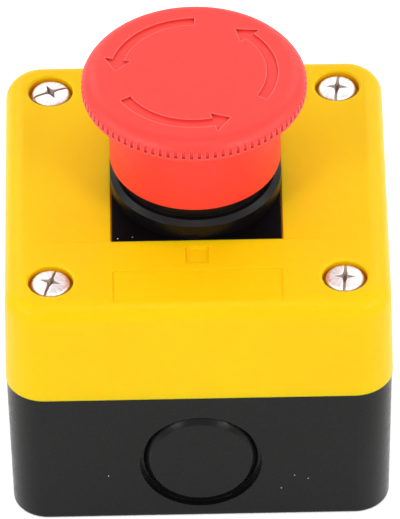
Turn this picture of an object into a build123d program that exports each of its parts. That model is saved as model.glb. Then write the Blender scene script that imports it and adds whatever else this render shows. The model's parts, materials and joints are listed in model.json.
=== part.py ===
from build123d import *
import math
import os

# Emergency stop push button in a small surface box, in millimetres.
# The origin is the centre of the box's underside and +Z runs up along the button's axis.
# The front, with the visible cable knock-out, faces -Y.

# Box, measured at the parting line between base and cover
box_width = 69.0
box_depth = 69.0
base_height = 29.4
cover_height = 21.0
corner_radius = 7.0
side_draft = 1.0
wall = 2.6
floor_thickness = 2.6
top_thickness = 3.0
top_edge_radius = 3.5
bottom_edge_radius = 0.8
parting_step = 0.12

# Cover screws, the columns they pass through and the bosses they bite into
screw_inset_x = 8.5
screw_inset_y = 8.7
screw_radius = 1.95
screw_length = 30.0
screw_head_radius = 3.5
screw_head_height = 2.3
screw_head_sink = 0.2
screw_head_round = 0.95
screw_slot_width = 0.9
screw_slot_depth = 1.1
screw_cross_width = 1.1
screw_cross_reach = 1.9
screw_turns = (22.0, 84.0, 72.0, 86.0)
pocket_gap = 0.55
pocket_chamfer = 0.3
column_radius = 5.2
rib_thickness = 1.6

# Seal groove in the base rim
groove_width = 1.2
groove_depth = 1.7
seal_height = 1.0

# Panel side of the operator
barrel_radius = 10.9
barrel_wall = 1.5
panel_hole_gap = 0.35
barrel_length = 18.2
plate_side = 30.2
plate_thickness = 2.2
plate_corner = 0.7
plate_edge_round = 0.3
pocket_depth = 0.8
pocket_width = 32.1
pocket_front = 15.8
pocket_back = 15.9
key_width = 3.0
key_height = 1.4
gasket_thickness = 1.0
gasket_inset = 2.0
gasket_width = 1.1

# Shallow marks in the cover's top
dish_side_margin = 5.2
dish_back_margin = 4.4
dish_depth = 0.5
label_width = 30.0
label_height = 8.8
label_margin = 2.2
label_depth = 0.18
label_corner = 0.5
mark_side = 4.15
mark_depth = 0.3

# Collar and neck above the panel
collar_radius = 15.3
collar_height = 1.6
chamfer_height = 0.5
neck_radius = 13.4
neck_height = 9.0
collar_mark_width = 2.4
collar_mark_height = 0.6
collar_mark_depth = 0.4
collar_mark_lift = 0.1
collar_mark_side = -0.8

# Mushroom head
press_travel = 3.0
press_clearance = 0.5
button_height = 26.0
head_radius = 20.0
head_thickness = 4.05
lip_height = 0.7
lip_round = 0.3
knurl_count = 90
knurl_groove_radius = 0.31
knurl_height = 1.0
shoulder_radius = 17.2
shoulder_drop = 0.35
skirt_radius = 15.28
skirt_wall = 1.08
skirt_edge_round = 0.4
skirt_flare = 0.6
dome_thickness = 3.2
hub_gap = 3.0
hub_wall = 2.2
hub_length = 8.0
web_count = 6
web_thickness = 1.2
web_height = 3.0

# Arrows sunk into the head, which turn the way the head is released
arrow_count = 3
arrow_start = 89.0
arrow_sweep = 88.0
arrow_head_sweep = 13.0
arrow_inner = 12.95
arrow_outer = 14.9
arrow_barb_inner = 11.7
arrow_barb_outer = 16.4
arrow_depth = 0.4

# Stem, its cone for the latch pins, and the foot that works the contacts
running_gap = 0.07
loose_gap = 0.3
cut_past = 1.0
stem_seat_width = 3.4
guide_length = 6.0
cap_thickness = 2.0
cap_below_pin = 2.0
cone_gap = 0.8
latch_stroke = 0.8
foot_radius = 8.4
foot_thickness = 2.3
foot_screw_radius = 1.45
foot_screw_head = 2.6
foot_screw_head_height = 1.3
foot_screw_length = 8.0
clip_thickness = 0.8
clip_reach = 1.0
clip_sink = 0.6
clip_below_spigot_top = 1.6
clip_mouth = 60.0

# Latch pins and their ring spring
pin_radius = 1.4
pin_nose = 0.9
pin_height = 7.1
ring_height = 1.5
ring_thickness = 0.5
ring_groove_height = 1.9
ring_mouth = 40.0

# Wiper seal between neck and skirt
wiper_height = 1.0
wiper_groove_radius = 12.6
wiper_above_collar = 4.0

# Coil springs
spring_gap = 0.05
wire_sides = 6
return_wire = 1.0
return_gap = 1.3
return_turns = 5
twist_wire = 0.8
twist_gap = 0.4
twist_turns = 4
twist_height = 3.9
block_spring_wire = 0.45
block_spring_radius = 1.4
block_spring_turns = 3
contact_spring_turns = 2

# Clamp nut under the panel
nut_thickness = 3.6
nut_wall = 3.1
nut_notches = 8
nut_notch_width = 3.2
nut_notch_depth = 1.4

# Contact carrier on the barrel
carrier_side_wall = 2.1
carrier_end_wall = 4.1
carrier_grip = 6.0
carrier_corner = 2.0
carrier_cavity = 20.0
grub_radius = 1.5
grub_slot_width = 0.6
grub_slot_depth = 0.8
grub_drop = 3.0

# Contact blocks
block_count = 2
block_width = 10.0
block_gap = 0.4
block_length = 38.0
block_height = 22.5
block_side_wall = 1.1
block_top_wall = 2.5
block_floor = 1.5
block_chamber = 19.2
block_shoulder_drop = 6.0
block_shoulder_length = 5.0
foot_clearance = 0.4
plunger_width = 5.6
plunger_depth = 5.0
plunger_foot = 16.6
plunger_gap = 0.1
plunger_edge = 0.4
window_width = 3.4
strip_width = 4.6
strip_thickness = 1.0
strip_drop = 9.0
strip_inner = 5.6
strip_outer = 17.8
rivet_radius = 1.2
rivet_height = 0.6
rivet_place = 7.0
bridge_width = 3.0
bridge_thickness = 0.8
bridge_half_length = 8.4
closed_gap = 0.1
open_gap = 2.2
contact_spring_height = 3.0
terminal_place = 15.2
terminal_width = 6.8
terminal_wall = 12.6
terminal_above = 2.0
terminal_below = 4.0
terminal_screw_radius = 1.45
terminal_screw_head = 2.6
terminal_screw_head_height = 1.8
terminal_screw_reach = 1.5
terminal_access_radius = 3.0
wire_gap = 1.6

# Cable knock-outs in the front and back walls, moulded in one with the wall
knockout_radius = 10.95
knockout_height = 14.2
knockout_groove_depth = 1.3
knockout_groove_width = 0.75
knockout_bevel = 1.2
knockout_bevel_drop = 0.5
knockout_face_sink = 0.35

# Holes in the floor for fixing the box to a surface
mount_inset = 9.5
mount_hole_radius = 2.2
mount_head_radius = 4.2
mount_pad_height = 1.6
mount_pad_radius = 5.4
mount_sink = 1.6

# Places and heights that follow from the sizes above
screw_spacing_x = box_width - 2 * screw_inset_x
screw_spacing_y = box_depth - 2 * screw_inset_y
mount_spacing = box_width - 2 * mount_inset
label_centre = box_depth / 2 - label_margin - label_height / 2
mark_centre = (pocket_front + label_centre - label_height / 2) / 2
dish_half_width = box_width / 2 - dish_side_margin
dish_length = box_depth / 2 + pocket_front - dish_back_margin
panel_hole_radius = barrel_radius + panel_hole_gap
upper_bore = barrel_radius - barrel_wall
stem_bore = upper_bore - stem_seat_width
cone_base = upper_bore - cone_gap
hub_radius = upper_bore - hub_gap
spigot_radius = hub_radius - hub_wall
clip_outer = spigot_radius + clip_reach
clip_inner = spigot_radius - clip_sink
return_mean_radius = upper_bore - return_gap - return_wire / 2
twist_mean_radius = hub_radius + twist_gap + twist_wire / 2
gasket_inner = barrel_radius + gasket_inset
gasket_outer = gasket_inner + gasket_width
nut_radius = barrel_radius + nut_wall
carrier_width = 2 * (barrel_radius + carrier_side_wall)
carrier_length = 2 * (barrel_radius + carrier_end_wall)
parting = base_height
cover_top = base_height + cover_height
ceiling = cover_top - top_thickness
plate_bottom = cover_top - pocket_depth
plate_top = plate_bottom + plate_thickness
barrel_bottom = plate_top - barrel_length
spring_seat = barrel_bottom + guide_length
collar_edge = plate_top + collar_height
neck_base = collar_edge + chamfer_height
neck_top = neck_base + neck_height
skirt_bottom = collar_edge + press_travel + press_clearance
head_top = cover_top + button_height
lip_bottom = head_top - head_thickness
lip_top = lip_bottom + lip_height
head_ceiling = head_top - dome_thickness
hub_bottom = head_ceiling - hub_length
pin_centre = collar_edge + pin_height
cap_top = pin_centre - cap_below_pin
stem_top = hub_bottom - loose_gap
spigot_top = head_ceiling - 2 * loose_gap
foot_top = barrel_bottom - loose_gap
foot_bottom = foot_top - foot_thickness
plunger_top = foot_bottom - loose_gap
block_top = foot_bottom - press_travel - foot_clearance
block_bottom = block_top - block_height
chamber_top = block_top - block_top_wall
chamber_bottom = block_bottom + block_floor
strip_top = block_top - strip_drop
strip_bottom = strip_top - strip_thickness
plunger_bottom = block_top - plunger_foot
closed_bridge_top = strip_bottom - 2 * rivet_height - closed_gap
open_bridge_bottom = strip_top + 2 * rivet_height + open_gap
carrier_top = barrel_bottom + carrier_grip
block_pitch = block_width + block_gap


def block(x, y, z):
    """Box between the low and high value given on each axis."""
    size = Box(x[1] - x[0], y[1] - y[0], z[1] - z[0])
    return Pos((x[0] + x[1]) / 2, (y[0] + y[1]) / 2, (z[0] + z[1]) / 2) * size


def centred(x, y, z, where=(0.0, 0.0)):
    """Box x wide and y deep about a point, between two heights."""
    return block((where[0] - x / 2, where[0] + x / 2), (where[1] - y / 2, where[1] + y / 2), z)


def turned(points):
    """Solid of revolution about Z of a closed outline of (radius, height) points."""
    return revolve(Plane.XZ * make_face(Polyline(*points, close=True)), Axis.Z)


def tube(low, high, outer, inner):
    """Ring between two heights and two radii about Z."""
    return turned([(inner, low), (outer, low), (outer, high), (inner, high)])


def rod(low, high, radius, where=(0.0, 0.0)):
    """Upright cylinder between two heights."""
    upright = Cylinder(radius, high - low, align=(Align.CENTER, Align.CENTER, Align.MIN))
    return Pos(where[0], where[1], low) * upright


def polar(radius, angle):
    """Point at a radius and an angle in degrees."""
    return radius * math.cos(math.radians(angle)), radius * math.sin(math.radians(angle))


def coil(mean_radius, wire, low, high, turns, where=(0.0, 0.0)):
    """Open coil spring that just fits between two heights, of wire with a many-sided section."""
    rise = high - low - wire - 2 * spring_gap
    start = (where[0], where[1], low + spring_gap + wire / 2)
    path = Helix(pitch=rise / turns, height=rise, radius=mean_radius, center=start)
    section = Plane(origin=path @ 0, z_dir=path % 0) * RegularPolygon(wire / 2, wire_sides)
    return sweep(section, path=path, is_frenet=True)


def outline(z, inset):
    """The box's rounded outline at a height, moved in by a distance."""
    inward = abs(z - parting) * math.tan(math.radians(side_draft)) + inset
    size = (box_width - 2 * inward, box_depth - 2 * inward)
    return Plane.XY.offset(z) * RectangleRounded(*size, corner_radius - inward)


def drafted(low, high, inset):
    """Solid inside the box's drafted walls, between two heights."""
    return loft([outline(low, inset), outline(high, inset)], ruled=True)


def band(low, high, outset, inset):
    """Ring that follows the box's wall, between two distances from its outside."""
    return drafted(low, high, outset) - drafted(low, high, inset)


def screw_places():
    """Centres of the four cover screws, back left first and then by rows."""
    rows = (screw_spacing_y / 2, -screw_spacing_y / 2)
    return [(x, y) for y in rows for x in (-screw_spacing_x / 2, screw_spacing_x / 2)]


def corner_column(where, low, high, inset):
    """Round column for a cover screw with ribs out to the two walls beside it."""
    x, y = where
    edge_x = math.copysign(box_width / 2, x)
    edge_y = math.copysign(box_depth / 2, y)
    half = rib_thickness / 2
    ribs = block(sorted((x, edge_x)), (y - half, y + half), (low, high))
    ribs += block((x - half, x + half), sorted((y, edge_y)), (low, high))
    return rod(low, high, column_radius, where) + (ribs & drafted(low, high, inset))


def base_box():
    """Lower box with screw bosses, seal groove, two knock-outs and two fixing holes."""
    body = drafted(0, parting, parting_step)
    body = fillet(body.edges().group_by(Axis.Z)[0], bottom_edge_radius)
    body -= drafted(floor_thickness, parting, wall)
    hole_bottom = screw_seat() - screw_length - loose_gap
    for where in screw_places():
        body += corner_column(where, floor_thickness, parting, wall - rib_thickness / 2)
    for x in (-mount_spacing / 2, mount_spacing / 2):
        pad_top = floor_thickness + mount_pad_height
        body += rod(floor_thickness, pad_top, mount_pad_radius, (x, 0))
        body -= rod(0, pad_top, mount_hole_radius, (x, 0))
        body -= rod(pad_top - mount_sink, pad_top, mount_head_radius, (x, 0))
    for where in screw_places():
        body -= rod(hole_bottom, parting, screw_radius + running_gap, where)
    centre = wall / 2
    half = groove_width / 2
    body -= band(parting - groove_depth, parting, centre - half, centre + half)
    body -= knockout_cut()
    body -= mirror(knockout_cut(), Plane.XZ)
    return body


def knockout_cut():
    """What a knock-out takes away: a ring groove, a bevelled disc edge and a sunk face."""
    face = box_depth / 2 - parting_step
    face -= (parting - knockout_height) * math.tan(math.radians(side_draft))
    groove_inner = knockout_radius - knockout_groove_width
    profile = [
        (0, face + cut_past),
        (knockout_radius, face + cut_past),
        (knockout_radius, face - knockout_groove_depth),
        (groove_inner, face - knockout_groove_depth),
        (groove_inner, face - knockout_face_sink - knockout_bevel_drop),
        (groove_inner - knockout_bevel, face - knockout_face_sink),
        (0, face - knockout_face_sink),
    ]
    return Pos(0, 0, knockout_height) * Rot(90 + side_draft, 0, 0) * turned(profile)


def cover_seal():
    """Rubber cord in the base's rim groove."""
    centre = wall / 2
    half = groove_width / 2 - spring_gap
    low = parting - groove_depth
    return band(low, low + seal_height, centre - half, centre + half)


def screw_seat():
    """Height of the face that the cover screws' heads press on."""
    return cover_top - screw_head_sink - screw_head_height


def dish_cut():
    """Shallow hollow in the cover's top, deepest along its front edge."""
    arc = ThreePointArc((-dish_half_width, 0), (0, -dish_depth), (dish_half_width, 0))
    high = 2 * dish_depth
    lid = Polyline(
        (dish_half_width, 0),
        (dish_half_width, high),
        (-dish_half_width, high),
        (-dish_half_width, 0),
    )
    front = Plane.XZ * make_face([*arc.edges(), *lid.edges()])
    hollow = extrude(front, -dish_length)
    lift = math.degrees(math.atan(dish_depth / dish_length))
    return Pos(0, -pocket_front, cover_top) * Rot(lift, 0, 0) * hollow


def cover():
    """Upper shell with screw columns, operator hole, plate pocket and shallow marks."""
    body = drafted(parting, cover_top, 0)
    body = fillet(body.edges().group_by(Axis.Z)[-1], top_edge_radius)
    body -= drafted(parting, ceiling, wall)
    for where in screw_places():
        body += corner_column(where, parting, ceiling, wall - rib_thickness / 2)
    sides = (-pocket_width / 2, pocket_width / 2)
    body -= block(sides, (-pocket_front, pocket_back), (plate_bottom, cover_top))
    body -= rod(ceiling, cover_top, panel_hole_radius)
    body -= key(ceiling, cover_top, panel_hole_gap)
    body -= dish_cut()
    label = RectangleRounded(label_width, label_height, label_corner)
    label = Pos(0, -label_centre, cover_top - label_depth) * label
    body -= extrude(label, label_depth)
    body -= centred(mark_side, mark_side, (cover_top - mark_depth, cover_top), (0, -mark_centre))
    for where in screw_places():
        body -= rod(parting, cover_top, screw_radius + loose_gap, where)
        body -= Pos(where[0], where[1], 0) * screw_pocket()
    centre = wall / 2
    half = groove_width / 2 - 2 * spring_gap
    body += band(parting - groove_depth + seal_height, parting, centre - half, centre + half)
    return body


def screw_pocket():
    """Round pocket for a cover screw's head, with a chamfered rim."""
    radius = screw_head_radius + pocket_gap
    return turned([
        (0, screw_seat()),
        (radius, screw_seat()),
        (radius, cover_top - pocket_chamfer),
        (radius + pocket_chamfer, cover_top),
        (0, cover_top),
    ])


def key(low, high, gap):
    """Rib at the back of the barrel that stops the operator from turning, grown by a gap."""
    reach = barrel_radius + key_height + gap
    half = key_width / 2 + gap
    return block((-half, half), (0, reach), (low, high))


def cover_screws():
    """Four pan head screws with a slot and a cross."""
    seat = screw_seat()
    top = seat + screw_head_height
    screws = []
    for where, turn in zip(screw_places(), screw_turns):
        head = rod(seat, top, screw_head_radius)
        head = fillet(head.edges().group_by(Axis.Z)[-1], screw_head_round)
        head += rod(seat - screw_length, seat, screw_radius)
        slot = centred(2 * screw_head_radius, screw_slot_width, (top - screw_slot_depth, top))
        cross = centred(screw_cross_width, 2 * screw_cross_reach, (seat, top))
        cross += centred(2 * screw_cross_reach, screw_cross_width, (seat, top))
        screws.append(Pos(where[0], where[1], 0) * Rot(0, 0, turn) * (head - slot - cross))
    return Compound(children=screws)


def bezel_plate():
    """Square plate under the collar, with a recess for the gasket in its underside."""
    plate = RectangleRounded(plate_side, plate_side, plate_corner)
    body = extrude(Pos(0, 0, plate_bottom) * plate, plate_thickness)
    body = fillet(body.edges().group_by(Axis.Z)[-1], plate_edge_round)
    body -= rod(plate_bottom, plate_top, barrel_radius + running_gap)
    body -= key(plate_bottom, plate_top, running_gap)
    recess = gasket_outer + running_gap
    body -= tube(plate_bottom, plate_bottom + gasket_thickness, recess, gasket_inner - running_gap)
    return body


def panel_gasket():
    """Rubber ring between plate and cover."""
    return tube(plate_bottom, plate_bottom + gasket_thickness, gasket_outer, gasket_inner)


def operator_body():
    """Collar, neck and barrel, turned as one, with the latch, wiper and stem bores."""
    body = turned([
        (stem_bore, barrel_bottom),
        (barrel_radius, barrel_bottom),
        (barrel_radius, plate_top),
        (collar_radius, plate_top),
        (collar_radius, collar_edge),
        (neck_radius, neck_base),
        (neck_radius, neck_top),
        (upper_bore, neck_top),
        (upper_bore, spring_seat),
        (stem_bore, spring_seat),
    ])
    key_rib = key(ceiling, plate_top, 0)
    body += key_rib - rod(ceiling, plate_top, upper_bore)
    wiper_low = collar_edge + wiper_above_collar
    wiper_high = wiper_low + wiper_height + 2 * spring_gap
    body -= tube(wiper_low, wiper_high, collar_radius, wiper_groove_radius)
    half = ring_groove_height / 2
    groove_inner = ring_inner() - latch_stroke - loose_gap
    body -= tube(pin_centre - half, pin_centre + half, collar_radius, groove_inner)
    pin_bore = Cylinder(pin_radius + running_gap, 2 * collar_radius)
    body -= Pos(0, 0, pin_centre) * Rot(0, 90, 0) * pin_bore
    mark_low = plate_top + collar_mark_lift
    span = (mark_low, mark_low + collar_mark_height)
    place = (collar_mark_side, -collar_radius)
    return body - centred(collar_mark_width, 2 * collar_mark_depth, span, place)


def ring_inner():
    """Inner radius of the latch ring spring at rest."""
    return neck_radius - ring_thickness + loose_gap / 2


def wiper_seal():
    """Rubber ring on the neck that keeps dirt out of the skirt."""
    low = collar_edge + wiper_above_collar + spring_gap
    outer = skirt_radius - skirt_wall - loose_gap
    return tube(low, low + wiper_height, outer, wiper_groove_radius + spring_gap)


def latch_ring_spring():
    """Open ring of flat spring steel round both latch pins."""
    half = ring_height / 2
    inner = ring_inner()
    ring = tube(pin_centre - half, pin_centre + half, inner + ring_thickness, inner)
    gap = 2 * inner * math.sin(math.radians(ring_mouth / 2))
    return ring - block((-gap / 2, gap / 2), (0, 2 * inner), (pin_centre - half, pin_centre + half))


def latch_pin(side):
    """Pin with a round nose that lies in the neck and points at the stem's cone."""
    tip = cone_base + loose_gap
    length = ring_inner() - spring_gap - tip
    pin = Cylinder(pin_radius, length, align=(Align.CENTER, Align.CENTER, Align.MIN))
    pin = fillet(pin.edges().group_by(Axis.Z)[0], pin_nose)
    return Pos(side * tip, 0, pin_centre) * Rot(0, side * 90, 0) * pin


def push_stem():
    """Stem with guide, spring cap, latch cone, shoulder and the spigot for the head."""
    guide = stem_bore - running_gap
    cone_top = cap_top + cap_below_pin + press_travel
    slope = latch_stroke / press_travel
    cone_low = cone_base + slope * cap_below_pin
    stem = turned([
        (0, foot_top),
        (guide, foot_top),
        (guide, cap_top - cap_thickness),
        (upper_bore - running_gap, cap_top - cap_thickness),
        (upper_bore - running_gap, cap_top),
        (cone_low, cap_top),
        (cone_base - latch_stroke, cone_top),
        (cone_base - latch_stroke, stem_top),
        (spigot_radius, stem_top),
        (spigot_radius, spigot_top),
        (0, spigot_top),
    ])
    low, high = clip_span()
    stem -= tube(low - spring_gap, high + spring_gap, clip_outer, clip_inner - spring_gap)
    return stem - rod(foot_top, foot_top + foot_screw_length, foot_screw_radius + running_gap)


def clip_span():
    """Lower and upper face of the head clip."""
    high = spigot_top - clip_below_spigot_top
    return high - clip_thickness, high


def head_clip():
    """Open ring in the spigot's groove that the head turns on."""
    low, high = clip_span()
    ring = tube(low, high, clip_outer, clip_inner)
    gap = 2 * clip_inner * math.sin(math.radians(clip_mouth / 2))
    return ring - block((-gap / 2, gap / 2), (0, clip_outer), (low, high))


def return_spring():
    """Compression spring that lifts the stem."""
    return coil(return_mean_radius, return_wire, spring_seat, cap_top - cap_thickness, return_turns)


def twist_spring():
    """Torsion spring round the head's hub."""
    return coil(twist_mean_radius, twist_wire, stem_top, stem_top + twist_height, twist_turns)


def stem_foot():
    """Disc under the stem that presses both plungers."""
    foot = rod(foot_bottom, foot_top, foot_radius)
    foot -= rod(foot_bottom, foot_top, foot_screw_radius + running_gap)
    sink = foot_bottom + foot_screw_head_height
    return foot - rod(foot_bottom, sink, foot_screw_head + running_gap)


def foot_screw():
    """Screw that holds the foot on the stem."""
    head_top_z = foot_bottom + foot_screw_head_height
    screw = rod(foot_bottom, head_top_z, foot_screw_head)
    screw += rod(head_top_z, foot_top + foot_screw_length - loose_gap, foot_screw_radius)
    slot_top = foot_bottom + foot_screw_head_height / 2
    return screw - centred(2 * foot_screw_head, screw_slot_width, (foot_bottom, slot_top))


def head_profile():
    """Half section of the mushroom head above its lip: a flat dome that runs into a round shoulder."""
    rim = lip_top + knurl_height
    shoulder_start = (shoulder_radius, head_top - shoulder_drop)
    dome = TangentArc((0, head_top), shoulder_start, tangent=(1, 0))
    shoulder = TangentArc(shoulder_start, (head_radius, rim), tangent=dome % 1)
    rest = Polyline((head_radius, rim), (head_radius, lip_bottom), (0, lip_bottom), (0, head_top))
    return make_face([*dome.edges(), *shoulder.edges(), *rest.edges()])


def arrow(turn):
    """Outline of one curved arrow, from its tail round to its tip."""
    neck = turn + arrow_sweep - arrow_head_sweep
    tip = polar((arrow_inner + arrow_outer) / 2, turn + arrow_sweep)
    barb_out = polar(arrow_barb_outer, neck)
    barb_in = polar(arrow_barb_inner, neck)
    shaft = neck - turn
    lines = [
        CenterArc((0, 0), arrow_outer, turn, shaft),
        Line(polar(arrow_outer, neck), barb_out),
        Line(barb_out, tip),
        Line(tip, barb_in),
        Line(barb_in, polar(arrow_inner, neck)),
        CenterArc((0, 0), arrow_inner, turn, shaft),
        Line(polar(arrow_inner, turn), polar(arrow_outer, turn)),
    ]
    return make_face([edge for line in lines for edge in line.edges()])


def mushroom_head():
    """Head and skirt in one, with knurl, arrows, hub and webs."""
    crown = revolve(Plane.XZ * head_profile(), Axis.Z)
    crown = fillet(crown.edges().filter_by(GeomType.CIRCLE).group_by(Axis.Z)[0], lip_round)
    arrows = [extrude(arrow(arrow_start + turn * 360 / arrow_count), head_thickness)
              for turn in range(arrow_count)]
    floor = Pos(0, 0, -arrow_depth) * crown
    for shape in arrows:
        crown -= Pos(0, 0, lip_bottom + head_thickness / 2) * shape - floor
    groove = rod(lip_top, head_top, knurl_groove_radius, (head_radius, 0))
    crown -= [Rot(0, 0, turn * 360 / knurl_count) * groove for turn in range(knurl_count)]
    skirt_inner = skirt_radius - skirt_wall
    head = crown + turned([
        (0, skirt_bottom),
        (skirt_radius, skirt_bottom),
        (skirt_radius, lip_bottom - skirt_flare),
        (skirt_radius + skirt_flare, lip_bottom),
        (0, lip_bottom),
    ])
    head = fillet(head.edges().filter_by(GeomType.CIRCLE).group_by(Axis.Z)[0], skirt_edge_round)
    head -= rod(skirt_bottom, head_ceiling, skirt_inner)
    hub = tube(hub_bottom, head_ceiling, hub_radius, spigot_radius + running_gap)
    low, high = clip_span()
    hub -= tube(low - loose_gap, high + loose_gap, clip_outer + loose_gap / 2, spigot_radius)
    web = block((hub_radius - web_thickness / 2, skirt_inner + skirt_wall / 2),
                (-web_thickness / 2, web_thickness / 2), (head_ceiling - web_height, head_ceiling))
    for turn in range(web_count):
        hub += Rot(0, 0, (turn + 1 / 2) * 360 / web_count) * web
    return head + hub


def clamp_nut():
    """Ring nut that draws the operator down on the panel from inside."""
    low = ceiling - nut_thickness
    nut = tube(low, ceiling, nut_radius, barrel_radius + running_gap)
    notch = centred(2 * nut_notch_depth, nut_notch_width, (low, ceiling), (nut_radius, 0))
    for turn in range(nut_notches):
        nut -= Rot(0, 0, turn * 360 / nut_notches) * notch
    return nut


def contact_carrier():
    """Adaptor that grips the barrel and holds the contact blocks under it."""
    plan = RectangleRounded(carrier_width, carrier_length, carrier_corner)
    body = extrude(Pos(0, 0, block_top) * plan, carrier_top - block_top)
    body -= rod(block_top, carrier_top, barrel_radius + running_gap)
    body -= centred(carrier_cavity, carrier_cavity, (block_top, barrel_bottom))
    return body - grub_holes()


def grub_place():
    """Height of the carrier's grub screws."""
    return carrier_top - grub_drop


def grub_holes():
    """Threaded holes in both sides of the carrier."""
    radius = grub_radius + running_gap
    return Pos(0, 0, grub_place()) * Rot(0, 90, 0) * Cylinder(radius, carrier_width)


def carrier_screws():
    """Grub screws that clamp the carrier to the barrel."""
    length = carrier_width / 2 - barrel_radius - 2 * spring_gap
    screws = []
    for side in (-1, 1):
        screw = Cylinder(grub_radius, length, align=(Align.CENTER, Align.CENTER, Align.MAX))
        slot = centred(2 * grub_radius, grub_slot_width, (-grub_slot_depth, 0))
        place = Pos(side * carrier_width / 2, 0, grub_place()) * Rot(0, side * 90, 0)
        screws.append(place * (screw - slot))
    return Compound(children=screws)


def block_centre(index):
    """X of a contact block, counted from the left."""
    return (index - (block_count - 1) / 2) * block_pitch


def block_housing(x):
    """Contact block shell with a plunger hole, two contact slots and two terminal pockets."""
    half = block_length / 2
    body = centred(block_width, block_length, (block_bottom, block_top), (x, 0))
    shoulder = block_top - block_shoulder_drop
    sides = (x - block_width / 2, x + block_width / 2)
    inner = x - terminal_width / 2, x + terminal_width / 2
    for side in (-1, 1):
        end = sorted((side * (half - block_shoulder_length), side * half))
        body -= block(sides, end, (shoulder, block_top))
        pocket = sorted((side * terminal_wall, side * half))
        body -= block(inner, pocket, (strip_bottom - terminal_below, strip_top + terminal_above))
        access = (x, side * terminal_place)
        body -= rod(block_bottom, strip_bottom, terminal_access_radius, access)
    body -= centred(block_width - 2 * block_side_wall, block_chamber, (chamber_bottom, chamber_top), (x, 0))
    gap = 2 * plunger_gap
    body -= centred(plunger_width + gap, plunger_depth + gap, (chamber_top, block_top), (x, 0))
    slot = (strip_bottom - spring_gap, strip_top + spring_gap)
    return body - centred(strip_width + 2 * spring_gap, 2 * strip_outer, slot, (x, 0))


def plunger(x, window_low, window_high):
    """Square plunger with a window for its contact bridge."""
    body = centred(plunger_width, plunger_depth, (plunger_bottom, plunger_top), (x, 0))
    body = fillet(body.edges().group_by(Axis.Z)[-1], plunger_edge)
    return body - centred(window_width, plunger_depth, (window_low, window_high), (x, 0))


def plunger_spring(x):
    """Spring under a plunger."""
    span = (chamber_bottom, plunger_bottom)
    return coil(block_spring_radius, block_spring_wire, *span, block_spring_turns, (x, 0))


def contact_spring(x, low, high):
    """Spring in the window of a plunger, between its bridge and the window's end."""
    return coil(block_spring_radius, block_spring_wire, low, high, contact_spring_turns, (x, 0))


def bridge(x, low, rivets_up):
    """Moving contact bar with a rivet at each end, on its upper or lower side."""
    high = low + bridge_thickness
    body = centred(bridge_width, 2 * bridge_half_length, (low, high), (x, 0))
    rivet_low = high if rivets_up else low - rivet_height
    for side in (-1, 1):
        body += rod(rivet_low, rivet_low + rivet_height, rivet_radius, (x, side * rivet_place))
    return body


def terminal(x, side, rivet_up):
    """Fixed contact strip with its rivet, from the chamber out to the terminal pocket."""
    y = sorted((side * strip_inner, side * strip_outer))
    body = block((x - strip_width / 2, x + strip_width / 2), y, (strip_bottom, strip_top))
    rivet_low = strip_top if rivet_up else strip_bottom - rivet_height
    body += rod(rivet_low, rivet_low + rivet_height, rivet_radius, (x, side * rivet_place))
    hole = terminal_screw_radius + running_gap
    return body - rod(strip_bottom, strip_top, hole, (x, side * terminal_place))


def terminal_screws(x):
    """Two clamp screws, turned from below."""
    head_high = strip_bottom - wire_gap
    head_low = head_high - terminal_screw_head_height
    screws = []
    for side in (-1, 1):
        where = (x, side * terminal_place)
        screw = rod(head_low, head_high, terminal_screw_head, where)
        screw += rod(head_high, strip_top + terminal_screw_reach, terminal_screw_radius, where)
        slot = (head_low, head_low + terminal_screw_head_height / 2)
        screws.append(screw - centred(2 * terminal_screw_head, screw_slot_width, slot, where))
    return Compound(children=screws)


def closed_contact(x):
    """The normally closed block: its bridge lies under the fixed contacts."""
    low = closed_bridge_top - bridge_thickness
    window = (low - contact_spring_height, closed_bridge_top)
    return {
        "nc_housing": block_housing(x),
        "nc_plunger": plunger(x, *window),
        "nc_plunger_spring": plunger_spring(x),
        "nc_bridge": bridge(x, low, True),
        "nc_contact_spring": contact_spring(x, window[0], low),
        "nc_terminal_front": terminal(x, -1, False),
        "nc_terminal_rear": terminal(x, 1, False),
        "nc_terminal_screws": terminal_screws(x),
    }


def open_contact(x):
    """The normally open block: its bridge waits above the fixed contacts."""
    low = open_bridge_bottom
    high = low + bridge_thickness
    window = (low - spring_gap, high + contact_spring_height)
    return {
        "no_housing": block_housing(x),
        "no_plunger": plunger(x, *window),
        "no_plunger_spring": plunger_spring(x),
        "no_bridge": bridge(x, low, False),
        "no_contact_spring": contact_spring(x, high, window[1]),
        "no_terminal_front": terminal(x, -1, True),
        "no_terminal_rear": terminal(x, 1, True),
        "no_terminal_screws": terminal_screws(x),
    }


def pieces():
    """Every piece of the part by the name of its node."""
    made = {
        "base_box": base_box(),
        "cover": cover(),
        "cover_seal": cover_seal(),
        "cover_screws": cover_screws(),
        "bezel_plate": bezel_plate(),
        "panel_gasket": panel_gasket(),
        "operator_body": operator_body(),
        "clamp_nut": clamp_nut(),
        "wiper_seal": wiper_seal(),
        "mushroom_head": mushroom_head(),
        "push_stem": push_stem(),
        "head_clip": head_clip(),
        "twist_spring": twist_spring(),
        "return_spring": return_spring(),
        "latch_pin_left": latch_pin(-1),
        "latch_pin_right": latch_pin(1),
        "latch_ring_spring": latch_ring_spring(),
        "stem_foot": stem_foot(),
        "foot_screw": foot_screw(),
        "contact_carrier": contact_carrier(),
        "carrier_screws": carrier_screws(),
    }
    made.update(closed_contact(block_centre(0)))
    made.update(open_contact(block_centre(1)))
    return made


os.makedirs("parts", exist_ok=True)
for node, shape in pieces().items():
    export_step(shape, f"parts/{node}.step")
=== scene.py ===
import json
import math

import bmesh
import bpy
from mathutils import Matrix, Vector

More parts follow.
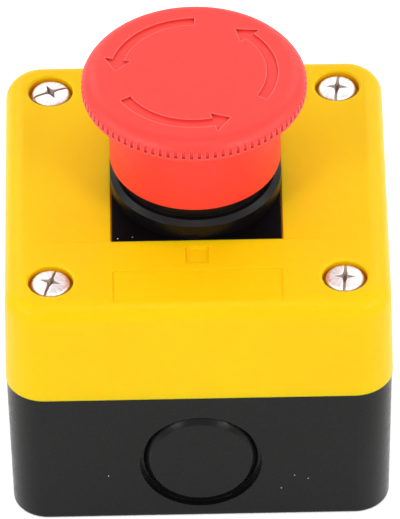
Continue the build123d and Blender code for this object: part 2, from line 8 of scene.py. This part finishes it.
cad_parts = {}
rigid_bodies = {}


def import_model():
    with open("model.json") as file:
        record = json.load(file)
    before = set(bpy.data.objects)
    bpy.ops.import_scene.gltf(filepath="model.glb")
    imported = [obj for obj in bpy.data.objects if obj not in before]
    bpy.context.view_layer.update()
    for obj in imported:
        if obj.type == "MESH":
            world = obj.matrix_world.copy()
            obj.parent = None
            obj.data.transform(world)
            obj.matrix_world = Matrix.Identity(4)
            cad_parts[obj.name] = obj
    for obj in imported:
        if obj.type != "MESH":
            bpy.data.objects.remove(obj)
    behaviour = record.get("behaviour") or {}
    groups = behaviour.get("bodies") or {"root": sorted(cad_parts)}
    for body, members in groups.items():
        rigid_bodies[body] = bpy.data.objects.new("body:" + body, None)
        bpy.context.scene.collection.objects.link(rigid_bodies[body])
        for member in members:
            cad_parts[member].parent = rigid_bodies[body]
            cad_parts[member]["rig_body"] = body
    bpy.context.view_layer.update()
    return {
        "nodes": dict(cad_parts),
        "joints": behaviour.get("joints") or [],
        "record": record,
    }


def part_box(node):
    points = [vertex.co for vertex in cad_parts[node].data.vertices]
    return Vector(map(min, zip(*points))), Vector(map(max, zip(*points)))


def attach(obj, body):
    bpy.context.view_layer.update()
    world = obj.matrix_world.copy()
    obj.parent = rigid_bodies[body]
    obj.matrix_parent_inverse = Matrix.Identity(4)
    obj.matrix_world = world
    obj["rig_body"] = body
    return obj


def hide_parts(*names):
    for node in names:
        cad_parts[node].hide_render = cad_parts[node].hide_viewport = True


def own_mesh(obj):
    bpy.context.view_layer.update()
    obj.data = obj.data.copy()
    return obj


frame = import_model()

nodes = frame["nodes"]
scene = bpy.context.scene
MM = 0.001

# Camera, as fitted to the photograph: angles in degrees, lengths in millimetres
camera_elevation = 41.737
camera_azimuth = -0.163
camera_roll = 0.965
camera_distance = 1402.66
camera_aside = 0.767
camera_above = -13.939
photo_height = 519
focal_pixels = 7832.8
sensor_width = 36.0

# Studio: lamps' distance and the height they look at in metres, light levels and the floor
lamp_distance = 1.15
lamp_aim = 0.04
sky_level = 0.45
white_level = 1.0
floor_size = 8
floor_shade = 0.93
floor_glow = 0.45

# Sizes in millimetres, as in the construction model
screw_head_radius = 3.5
screw_head_height = 2.3
screw_radius = 1.95
screw_turns = (22.0, 84.0, 72.0, 86.0)
plate_top = 51.8
collar_edge = 53.4
neck_base = 53.9
barrel_radius = 10.9
pocket_floor = 49.6
knockout_height = 14.2
knockout_face = 34.115
knockout_draft = 1.0
groove_inner = 10.2
disc_edge = 9.0

# Bounds that tell the points to move from the others, in millimetres
plate_edge_height = 0.5
plate_front_from = 14.0
collar_from = barrel_radius + 1.0
pocket_walls = (15.0, 17.5)
pocket_reach = 18.0
groove_depths = (0.7, 1.0)
disc_depths = (0.2, 0.5)
merge_distance = 0.001
on_level = 0.01
off_level = 0.1
on_ring = 0.05

# How the photograph's forms leave those of the construction model, in millimetres
plate_drop = 1.45
plate_reach = 0.5
collar_edge_drop = 0.3
cone_top_radius = 14.3
cone_top = 53.88
pocket_tighter = 0.7
disc_sink = 0.1
bevel_depth = 1.2

# Finer recess of the cover screws' heads, in millimetres
head_crown = 0.12
head_round = 0.9
slot_width = 0.5
slot_depth = 0.75
cross_reach = 2.05
cross_waist = 0.72
cross_depth = 1.7
cross_arms = 4
cross_levels = ((0.3, cross_depth), (0.9, 0.35), (1.0, 0.0), (1.0, -1.0))
past_surface = 1.0
crown_steps = 4
rounding_steps = 6
lathe_steps = 64

# Faces that meet at less than this angle are shaded smooth, in degrees
smooth_angle = 30.0

# Scratches on the screw heads: how many lie round the centre, and how often they break, per metre
ray_density = 6.0
ray_breaks = 260.0

# Colour sockets of the mix node
mix_first, mix_second, mix_result = 6, 7, 2


def direction(turn, rise):
    """Unit vector away from the object's middle, by its angles as seen from the front."""
    level = math.cos(rise)
    return Vector((math.sin(turn) * level, -math.cos(turn) * level, math.sin(rise)))


def aim(camera):
    """Places the camera by its angles about the centre of the cover's top."""
    elevation = math.radians(camera_elevation)
    azimuth = math.radians(camera_azimuth)
    roll = math.radians(camera_roll)
    back = direction(azimuth, elevation)
    right = Vector((math.cos(azimuth), math.sin(azimuth), 0))
    up = back.cross(right)
    side = math.cos(roll) * right - math.sin(roll) * up
    head = math.sin(roll) * right + math.cos(roll) * up
    centre = Vector((0, 0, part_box("cover")[1].z))
    place = centre + (back * camera_distance + side * camera_aside + head * camera_above) * MM
    turn = Matrix((side, head, back)).transposed()
    camera.matrix_world = Matrix.Translation(place) @ turn.to_4x4()


def make_camera():
    """The photograph's view."""
    data = bpy.data.cameras.new("camera")
    data.sensor_width = sensor_width
    data.lens = focal_pixels / photo_height * sensor_width
    camera = bpy.data.objects.new("camera", data)
    scene.collection.objects.link(camera)
    aim(camera)
    scene.camera = camera


def lamp(name, azimuth, elevation, size, power):
    """Square soft white lamp that looks at the object's middle, placed by its angles."""
    data = bpy.data.lights.new(name, "AREA")
    data.shape = "SQUARE"
    data.size = size
    data.energy = power
    light = bpy.data.objects.new(name, data)
    scene.collection.objects.link(light)
    away = direction(math.radians(azimuth), math.radians(elevation))
    light.location = Vector((0, 0, lamp_aim)) + away * lamp_distance
    light.rotation_euler = (-away).to_track_quat("-Z", "Y").to_euler()


def light_scene():
    """Plain soft studio light and a white background."""
    lamp("key_left", azimuth=-46, elevation=32, size=0.3, power=3.4)
    lamp("key_right", azimuth=46, elevation=32, size=0.3, power=3.4)
    lamp("top", azimuth=0, elevation=74, size=0.5, power=1.7)
    lamp("left", azimuth=-88, elevation=30, size=0.6, power=2.7)
    lamp("right", azimuth=88, elevation=30, size=0.6, power=2.5)
    lamp("back_left", azimuth=-150, elevation=36, size=0.6, power=1.9)
    lamp("back_right", azimuth=150, elevation=36, size=0.6, power=1.9)
    world = bpy.data.worlds.new("world")
    scene.world = world
    world.use_nodes = True
    tree = world.node_tree
    tree.nodes.clear()
    output = tree.nodes.new("ShaderNodeOutputWorld")
    mix = tree.nodes.new("ShaderNodeMixShader")
    tree.links.new(seen_directly(tree), mix.inputs[0])
    tree.links.new(background(tree, sky_level), mix.inputs[1])
    tree.links.new(background(tree, white_level), mix.inputs[2])
    tree.links.new(mix.outputs[0], output.inputs["Surface"])


def background(tree, strength):
    """White background of a strength."""
    made = tree.nodes.new("ShaderNodeBackground")
    made.inputs["Color"].default_value = (1, 1, 1, 1)
    made.inputs["Strength"].default_value = strength
    return made.outputs[0]


def seen_directly(tree):
    """Socket that is 1 for camera, glossy and transmission rays."""
    rays = tree.nodes.new("ShaderNodeLightPath")
    first = tree.nodes.new("ShaderNodeMath")
    first.operation = "MAXIMUM"
    tree.links.new(rays.outputs["Is Camera Ray"], first.inputs[0])
    tree.links.new(rays.outputs["Is Glossy Ray"], first.inputs[1])
    second = tree.nodes.new("ShaderNodeMath")
    second.operation = "MAXIMUM"
    tree.links.new(first.outputs[0], second.inputs[0])
    tree.links.new(rays.outputs["Is Transmission Ray"], second.inputs[1])
    return second.outputs[0]


def make_floor():
    """Pale plain floor that keeps the object's shadow and looks white beyond it."""
    bpy.ops.mesh.primitive_plane_add(size=floor_size, location=(0, 0, 0))
    floor = bpy.context.object
    floor.name = "floor"
    material = bpy.data.materials.new("floor_white")
    material.use_nodes = True
    tree = material.node_tree
    tree.nodes.clear()
    output = tree.nodes.new("ShaderNodeOutputMaterial")
    matt = tree.nodes.new("ShaderNodeBsdfDiffuse")
    matt.inputs["Color"].default_value = (floor_shade, floor_shade, floor_shade, 1)
    glow = tree.nodes.new("ShaderNodeEmission")
    glow.inputs["Color"].default_value = (1, 1, 1, 1)
    scale = tree.nodes.new("ShaderNodeMath")
    scale.operation = "MULTIPLY"
    scale.inputs[1].default_value = floor_glow
    tree.links.new(seen_directly(tree), scale.inputs[0])
    tree.links.new(scale.outputs[0], glow.inputs["Strength"])
    add = tree.nodes.new("ShaderNodeAddShader")
    tree.links.new(matt.outputs[0], add.inputs[0])
    tree.links.new(glow.outputs[0], add.inputs[1])
    tree.links.new(add.outputs[0], output.inputs["Surface"])
    floor.data.materials.append(material)


class Maker:
    """Builds one node material step by step."""

    def __init__(self, name):
        self.material = bpy.data.materials.new(name)
        self.material.use_nodes = True
        self.tree = self.material.node_tree
        self.shader = self.tree.nodes["Principled BSDF"]
        self.where = self.tree.nodes.new("ShaderNodeTexCoord").outputs["Object"]

    def node(self, kind, **inputs):
        """New node with values on its named inputs."""
        made = self.tree.nodes.new(kind)
        for key, value in inputs.items():
            made.inputs[key.replace("_", " ")].default_value = value
        return made

    def link(self, out, into):
        """Joins two sockets."""
        self.tree.links.new(out, into)

    def set(self, **inputs):
        """Values on the shader's own sockets."""
        for key, value in inputs.items():
            self.shader.inputs[key.replace("_", " ")].default_value = value

    def noise(self, scale, detail=3.0, roughness=0.5, stretch=None):
        """Noise of a scale in waves per metre, stretched along the axes if asked."""
        noise = self.node("ShaderNodeTexNoise", Scale=scale, Detail=detail, Roughness=roughness)
        if stretch:
            mapping = self.node("ShaderNodeMapping", Scale=stretch)
            self.link(self.where, mapping.inputs["Vector"])
            self.link(mapping.outputs[0], noise.inputs["Vector"])
        else:
            self.link(self.where, noise.inputs["Vector"])
        return noise.outputs["Fac"]

    def spread(self, value, low, high, start=0.3, stop=0.7):
        """Maps a noise from start to stop onto low to high."""
        ramp = self.node("ShaderNodeMapRange")
        ends = {"From Min": start, "From Max": stop, "To Min": low, "To Max": high}
        for key, number in ends.items():
            ramp.inputs[key].default_value = number
        self.link(value, ramp.inputs["Value"])
        return ramp.outputs[0]

    def colours(self, value, low, high):
        """Mixes two colours by a value."""
        mix = self.tree.nodes.new("ShaderNodeMix")
        mix.data_type = "RGBA"
        self.link(value, mix.inputs["Factor"])
        mix.inputs[mix_first].default_value = (*low, 1)
        mix.inputs[mix_second].default_value = (*high, 1)
        return mix.outputs[mix_result]

    def bump(self, height, distance, strength=1.0, under=None):
        """Bump of a height in metres over the normal given."""
        bump = self.node("ShaderNodeBump", Strength=strength, Distance=distance)
        self.link(height, bump.inputs["Height"])
        if under is not None:
            self.link(under, bump.inputs["Normal"])
        return bump.outputs[0]

    def rounded(self, radius):
        """Normal that softens sharp edges."""
        bevel = self.node("ShaderNodeBevel", Radius=radius)
        bevel.samples = 6
        return bevel.outputs[0]

    def math(self, operation, first, second=None):
        """Math node on sockets or numbers."""
        node = self.tree.nodes.new("ShaderNodeMath")
        node.operation = operation
        for index, value in enumerate((first, second)):
            if value is None:
                continue
            if isinstance(value, (int, float)):
                node.inputs[index].default_value = value
            else:
                self.link(value, node.inputs[index])
        return node.outputs[0]

    def edges(self, distance, strength):
        """Mask of the outward edges, from how near the far side lies behind the surface."""
        depth = self.node("ShaderNodeAmbientOcclusion", Distance=distance)
        depth.samples = 8
        depth.inside = True
        return self.spread(depth.outputs["AO"], strength, 0.0, start=0.55, stop=0.95)

    def crevices(self, distance, strength, open_from=0.8):
        """Mask of the narrow places, from the light that they lack."""
        shade = self.node("ShaderNodeAmbientOcclusion", Distance=distance)
        shade.samples = 8
        return self.spread(shade.outputs["AO"], strength, 0.0, start=0.25, stop=open_from)

    def specks(self, scale, size, share):
        """Mask of sparse round specks of dust, of a size in metres."""
        cells = self.node("ShaderNodeTexVoronoi", Scale=scale)
        self.link(self.where, cells.inputs["Vector"])
        near = self.math("LESS_THAN", cells.outputs["Distance"], size * scale)
        channels = self.tree.nodes.new("ShaderNodeSeparateColor")
        self.link(cells.outputs["Color"], channels.inputs[0])
        return self.math("MULTIPLY", near, self.math("LESS_THAN", channels.outputs[0], share))

    def over(self, base, mask, colour):
        """Lays a colour over a colour socket by a mask."""
        mix = self.tree.nodes.new("ShaderNodeMix")
        mix.data_type = "RGBA"
        self.link(mask, mix.inputs["Factor"])
        self.link(base, mix.inputs[mix_first])
        mix.inputs[mix_second].default_value = (*colour, 1)
        return mix.outputs[mix_result]


def tint(colour, factor):
    """Colour made lighter or darker."""
    return tuple(min(1.0, channel * factor) for channel in colour)


def moulded(name, colour, roughness, edge=0.00015, vary=0.06, painted_edge_highlight=None, painted_crevice_shade=None, dust=0.0,
            open_from=0.8, **extra):
    """Moulded plastic: flow marks, uneven gloss, grain, a painted highlight on the outward edges,
    painted shade in the grooves, dust.
    """
    maker = Maker(name)
    broad = maker.spread(maker.noise(scale=45, detail=4), low=0, high=1)
    paint = maker.colours(broad, tint(colour, 1 - vary), tint(colour, 1 + vary))
    # Painted highlight: a lighter colour laid along the outward edges, where a rounded edge would
    # catch the light.
    if painted_edge_highlight:
        paint = maker.over(paint, maker.edges(distance=0.0003, strength=0.6), painted_edge_highlight)
    # Painted shade: a darker colour laid in the grooves and recesses, where little light reaches.
    if painted_crevice_shade:
        crevice_shade = maker.crevices(distance=0.0015, strength=0.95, open_from=open_from)
        paint = maker.over(paint, crevice_shade, painted_crevice_shade)
    if dust:
        specks = maker.specks(scale=420, size=0.00013, share=dust)
        paint = maker.over(paint, specks, colour=(0.7, 0.7, 0.7))
    maker.link(paint, maker.shader.inputs["Base Color"])
    uneven = maker.noise(scale=700, detail=4)
    fine = maker.spread(uneven, low=roughness - 0.05, high=roughness + 0.07)
    maker.link(fine, maker.shader.inputs["Roughness"])
    grain = maker.noise(scale=2600, detail=2)
    normal = maker.bump(grain, distance=0.00002, strength=0.5, under=maker.rounded(edge))
    maker.link(normal, maker.shader.inputs["Normal"])
    maker.set(**extra)
    return maker.material


def metal(name, colour, roughness):
    """Plated or drawn metal with fine scratches and uneven gloss."""
    maker = Maker(name)
    broad = maker.spread(maker.noise(scale=400, detail=4), low=0, high=1)
    paint = maker.colours(broad, tint(colour, 0.88), tint(colour, 1.06))
    maker.link(paint, maker.shader.inputs["Base Color"])
    uneven = maker.noise(scale=1800, detail=5)
    fine = maker.spread(uneven, low=roughness - 0.08, high=roughness + 0.12)
    maker.link(fine, maker.shader.inputs["Roughness"])
    scratches = maker.noise(scale=900, detail=5, roughness=0.7, stretch=(1, 9, 9))
    edge = maker.rounded(radius=0.0001)
    normal = maker.bump(scratches, distance=0.00001, strength=0.6, under=edge)
    maker.link(normal, maker.shader.inputs["Normal"])
    maker.set(Metallic=1.0)
    return maker.material


def screw_steel(name, places):
    """Zinc plated screw heads with fine scratches out from each centre, a painted highlight on
    the outward edges, and brown in the recess.
    """
    maker = Maker(name)
    split = maker.tree.nodes.new("ShaderNodeSeparateXYZ")
    maker.link(maker.where, split.inputs[0])
    across = maker.math("SUBTRACT", maker.math("ABSOLUTE", split.outputs[0]), places[0])
    along = maker.math("SUBTRACT", maker.math("ABSOLUTE", split.outputs[1]), places[1])
    turn = maker.math("ARCTAN2", along, across)
    squares = maker.math("MULTIPLY", across, across), maker.math("MULTIPLY", along, along)
    away = maker.math("SQRT", maker.math("ADD", *squares))
    polar = maker.tree.nodes.new("ShaderNodeCombineXYZ")
    maker.link(maker.math("MULTIPLY", turn, ray_density), polar.inputs[0])
    maker.link(maker.math("MULTIPLY", away, ray_breaks), polar.inputs[1])
    maker.link(maker.math("SIGN", split.outputs[0]), polar.inputs[2])
    rays = maker.node("ShaderNodeTexNoise", Scale=2.2, Detail=6.0, Roughness=0.7)
    maker.link(polar.outputs[0], rays.inputs["Vector"])
    scratches = maker.spread(rays.outputs["Fac"], low=0.0, high=1.0, start=0.35, stop=0.65)
    paint = maker.colours(scratches, low=(0.55, 0.54, 0.55), high=(0.9, 0.89, 0.88))
    # Painted highlight: a near white laid along the rim and the edges of the slot and cross.
    painted_edge_highlight = maker.edges(distance=0.00022, strength=0.8)
    paint = maker.over(paint, painted_edge_highlight, colour=(0.95, 0.92, 0.88))
    # Brown laid in the slot and cross where the least light reaches; the metal gives way to it
    # there.
    recess_brown = maker.crevices(distance=0.0009, strength=0.9)
    paint = maker.over(paint, recess_brown, colour=(0.36, 0.2, 0.1))
    maker.link(paint, maker.shader.inputs["Base Color"])
    fine = maker.spread(rays.outputs["Fac"], low=0.34, high=0.52)
    maker.link(fine, maker.shader.inputs["Roughness"])
    edge = maker.rounded(radius=0.0002)
    normal = maker.bump(scratches, distance=0.00003, strength=0.5, under=edge)
    maker.link(normal, maker.shader.inputs["Normal"])
    maker.link(maker.math("SUBTRACT", 1.0, recess_brown), maker.shader.inputs["Metallic"])
    return maker.material


def rubber(name, colour):
    """Dull rubber with a dusty bloom."""
    maker = Maker(name)
    broad = maker.spread(maker.noise(scale=300, detail=5), low=0, high=1)
    paint = maker.colours(broad, colour, tint(colour, 1.5))
    maker.link(paint, maker.shader.inputs["Base Color"])
    fine = maker.spread(maker.noise(scale=900, detail=4), low=0.6, high=0.8)
    maker.link(fine, maker.shader.inputs["Roughness"])
    normal = maker.bump(maker.noise(scale=3000, detail=3), distance=0.00003, strength=0.6)
    maker.link(normal, maker.shader.inputs["Normal"])
    return maker.material


def make_materials():
    """One material for each material slot of the record."""
    return {
        "base_plastic": moulded(
            "base_plastic", (0.005, 0.005, 0.0052), 0.25, dust=0.06, Specular_IOR_Level=0.165),
        # The cover's painted shade in its pockets and recesses is an orange that stands in for
        # light glowing through the yellow plastic.
        "cover_plastic": moulded(
            "cover_plastic", (0.96, 0.59, 0.003), 0.34, vary=0.02, painted_crevice_shade=(1.0, 0.4, 0.0),
            open_from=0.5, Specular_IOR_Level=0.1, Subsurface_Weight=0.5,
            Subsurface_Radius=(1.0, 0.4, 0.03), Subsurface_Scale=0.003),
        # The head's painted highlight on its outward edges, and painted shade in its knurl
        # grooves and arrow recesses.
        "head_plastic": moulded(
            "head_plastic", (0.93, 0.036, 0.026), 0.45, edge=0.0002, vary=0.03,
            painted_edge_highlight=(0.95, 0.22, 0.2), painted_crevice_shade=(0.45, 0.008, 0.008), Specular_IOR_Level=0.5),
        "operator_plastic": moulded(
            "operator_plastic", (0.004, 0.0032, 0.004), 0.32, dust=0.4, Specular_IOR_Level=0.2),
        "seal_rubber": rubber("seal_rubber", (0.02, 0.02, 0.02)),
        "plated_steel": metal("plated_steel", (0.72, 0.71, 0.69), 0.28),
        "spring_steel": metal("spring_steel", (0.55, 0.55, 0.57), 0.3),
        "stem_plastic": moulded("stem_plastic", (0.72, 0.7, 0.62), 0.4),
        "block_plastic": moulded("block_plastic", (0.03, 0.03, 0.033), 0.5),
        "closed_plastic": moulded("closed_plastic", (0.6, 0.02, 0.02), 0.4),
        "open_plastic": moulded("open_plastic", (0.02, 0.28, 0.07), 0.4),
        "contact_brass": metal("contact_brass", (0.78, 0.56, 0.22), 0.3),
    }


def dress(data, material):
    """Gives a mesh its material and smooth shading across its soft edges."""
    data.materials.clear()
    data.materials.append(material)
    data.shade_smooth()
    data.set_sharp_from_angle(angle=math.radians(smooth_angle))


def show(name, data, material):
    """Shows a mesh in a carried-over node's place, on the same body, with the material given."""
    shown = bpy.data.objects.new(f"{name}_shown", data)
    scene.collection.objects.link(shown)
    dress(data, material)
    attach(shown, nodes[name]["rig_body"])
    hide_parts(name)
    return shown


def squeeze_springs():
    """Shows a copy of each compression spring that a slide joint deforms, in the spring's place,
    on a mesh of its own.
    """
    slides = [joint for joint in frame["joints"] if joint["type"] == "slide"]
    for joint in slides:
        for spring in joint.get("deforming_nodes") or []:
            name, fixed = spring["node"], spring["fixed_end_z_m"]
            shown = show(name, nodes[name].data.copy(), materials[slots[name]])
            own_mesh(shown)


def reshaped(name, move, material):
    """Shows a copy of a carried-over node with some of its points moved, in the node's place."""
    data = nodes[name].data.copy()
    if "custom_normal" in data.attributes:
        data.attributes.remove(data.attributes["custom_normal"])
    mesh = bmesh.new()
    mesh.from_mesh(data)
    bmesh.ops.remove_doubles(mesh, verts=mesh.verts, dist=merge_distance * MM)
    for vertex in mesh.verts:
        vertex.co = Vector(move(*(vertex.co / MM))) * MM
    mesh.to_mesh(data)
    mesh.free()
    show(name, data, material)


def lower_plate(x, y, z):
    """The plate lies almost flush in the cover's pocket and reaches its front wall."""
    if z > plate_top - plate_edge_height:
        z -= plate_drop
    if y < -plate_front_from:
        y -= plate_reach
    return x, y, z


def taller_collar(x, y, z):
    """The collar's wall comes down to the lowered plate, and its top edge slopes more steeply."""
    radius = math.hypot(x, y)
    if radius > collar_from and plate_top - off_level < z < collar_edge - off_level:
        z -= plate_drop
    elif abs(z - plate_top) < on_level:
        z -= plate_drop
    elif abs(z - collar_edge) < on_level:
        z -= collar_edge_drop
    elif radius > collar_from and collar_edge + off_level < z < neck_base - off_level:
        return x * cone_top_radius / radius, y * cone_top_radius / radius, cone_top
    return x, y, z


def tighter_pocket(x, y, z):
    """The pocket's side walls stand close to the plate."""
    near, far = pocket_walls
    if near < abs(x) < far and abs(y) < pocket_reach and z > pocket_floor - off_level:
        x -= math.copysign(pocket_tighter, x)
    return x, y, z


def deeper_bevel(x, y, z):
    """The knock-outs' discs come nearer to the wall's face and slope down to the groove."""
    side = math.copysign(1, y)
    draft = math.radians(knockout_draft)
    outward = Vector((0, side * math.cos(draft), -math.sin(draft)))
    away = Vector((x, y, z - knockout_height))
    depth = knockout_face - away.dot(outward)
    radius = (away - outward * away.dot(outward)).length
    wanted = depth
    if abs(radius - disc_edge) < on_ring and disc_depths[0] < depth < disc_depths[1]:
        wanted = disc_sink
    if abs(radius - groove_inner) < on_ring and groove_depths[0] < depth < groove_depths[1]:
        wanted = bevel_depth
    return tuple(Vector((x, y, z)) + outward * (depth - wanted))


def lathe(profile):
    """Mesh turned from a profile of radii and heights in millimetres, from axis to axis."""
    mesh = bmesh.new()
    rings = []
    for radius, height in profile:
        ring = []
        for step in range(1 if radius == 0 else lathe_steps):
            turn = 2 * math.pi * step / lathe_steps
            place = Vector((radius * math.cos(turn), radius * math.sin(turn), height))
            ring.append(mesh.verts.new(place * MM))
        rings.append(ring)
    for lower, upper in zip(rings, rings[1:]):
        for step in range(lathe_steps):
            corners = [ring[index % len(ring)] for ring, index in
                       ((lower, step), (lower, step + 1), (upper, step + 1), (upper, step))]
            mesh.faces.new(list(dict.fromkeys(corners)))
    bmesh.ops.recalc_face_normals(mesh, faces=mesh.faces)
    return mesh


def stack(sections):
    """Mesh through stacked outlines, given as lists of points in millimetres and their height."""
    mesh = bmesh.new()
    rings = [[mesh.verts.new(Vector((x, y, height)) * MM) for x, y in points]
             for points, height in sections]
    for lower, upper in zip(rings, rings[1:]):
        for step in range(len(lower)):
            after = (step + 1) % len(lower)
            mesh.faces.new((lower[step], lower[after], upper[after], upper[step]))
    for ring, height in ((rings[0], sections[0][1]), (rings[-1], sections[-1][1])):
        middle = mesh.verts.new(Vector((0, 0, height)) * MM)
        for step in range(len(ring)):
            mesh.faces.new((ring[step], ring[(step + 1) % len(ring)], middle))
    bmesh.ops.recalc_face_normals(mesh, faces=mesh.faces)
    return mesh


def as_object(name, mesh):
    """Blender object from a mesh in the making."""
    data = bpy.data.meshes.new(name)
    mesh.to_mesh(data)
    mesh.free()
    made = bpy.data.objects.new(name, data)
    scene.collection.objects.link(made)
    return made


def cut(body, tool):
    """Takes a tool's shape out of a body and removes the tool."""
    step = body.modifiers.new("cut", "BOOLEAN")
    step.operation = "DIFFERENCE"
    step.solver = "EXACT"
    step.object = tool
    bpy.context.view_layer.update()
    shaped = body.evaluated_get(bpy.context.evaluated_depsgraph_get())
    data = bpy.data.meshes.new_from_object(shaped)
    body.modifiers.remove(step)
    body.data = data
    bpy.data.objects.remove(tool)


def star(size):
    """Outline of the pointed cross at a share of its size."""
    outline = []
    for corner, reach in enumerate((cross_reach, cross_waist) * cross_arms):
        turn = math.radians(180 / cross_arms * corner)
        outline.append((size * reach * math.cos(turn), size * reach * math.sin(turn)))
    return outline


def make_screws(material):
    """Cover screws with a narrow slot and a pointed cross, shown in place of the plain ones."""
    low, top = (corner.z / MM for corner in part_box("cover_screws"))
    seat = top - screw_head_height
    rim = screw_head_radius - head_round
    edge = top - head_crown
    turns = [math.radians(90 * step / rounding_steps) for step in range(rounding_steps + 1)]
    bend = [(rim + head_round * math.sin(turn), edge - head_round + head_round * math.cos(turn))
            for turn in turns]
    shares = [step / crown_steps for step in range(crown_steps)]
    crown = [(rim * share, top - head_crown * share ** 2) for share in shares]
    shank = [(screw_head_radius, seat), (screw_radius, seat), (screw_radius, low), (0, low)]
    across, along = screw_place()
    places = [(x, y) for y in (along, -along) for x in (-across, across)]
    screws = []
    for (x, y), turn in zip(places, screw_turns):
        screw = as_object("screw", lathe(crown + bend + shank))
        half = slot_width / 2
        far = screw_head_radius + past_surface
        box = [(-far, -half), (far, -half), (far, half), (-far, half)]
        cut(screw, as_object("slot", stack([(box, top - slot_depth), (box, top + past_surface)])))
        cross = [(star(size), top - depth) for size, depth in cross_levels]
        cut(screw, as_object("cross", stack(cross)))
        turned = Matrix.Rotation(math.radians(turn), 4, "Z")
        screw.data.transform(Matrix.Translation((x, y, 0)) @ turned)
        screws.append(screw)
    joined = bmesh.new()
    for screw in screws:
        joined.from_mesh(screw.data)
        bpy.data.objects.remove(screw)
    data = bpy.data.meshes.new("cover_screws_shown")
    joined.to_mesh(data)
    joined.free()
    show("cover_screws", data, material)


def screw_place():
    """Distance of the cover screws from the object's middle along X and Y."""
    low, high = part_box("cover_screws")
    radius = screw_head_radius * MM
    return (high.x - low.x) / 2 - radius, (high.y - low.y) / 2 - radius


make_camera()
light_scene()
make_floor()
materials = make_materials()
slots = {part["node"]: part["material_slot"] for part in frame["record"]["subparts"]}
for node, slot in slots.items():
    dress(nodes[node].data, materials[slot])
make_screws(screw_steel("screw_steel", screw_place()))
matt_black = moulded("matt_black", (0.002, 0.0015, 0.002), 0.5, dust=0.3,
                     Specular_IOR_Level=0.03)
reshaped("bezel_plate", lower_plate, matt_black)
reshaped("operator_body", taller_collar, materials["operator_plastic"])
reshaped("cover", tighter_pocket, materials["cover_plastic"])
reshaped("base_box", deeper_bevel, materials["base_plastic"])
squeeze_springs()

scene.view_settings.view_transform = "Standard"
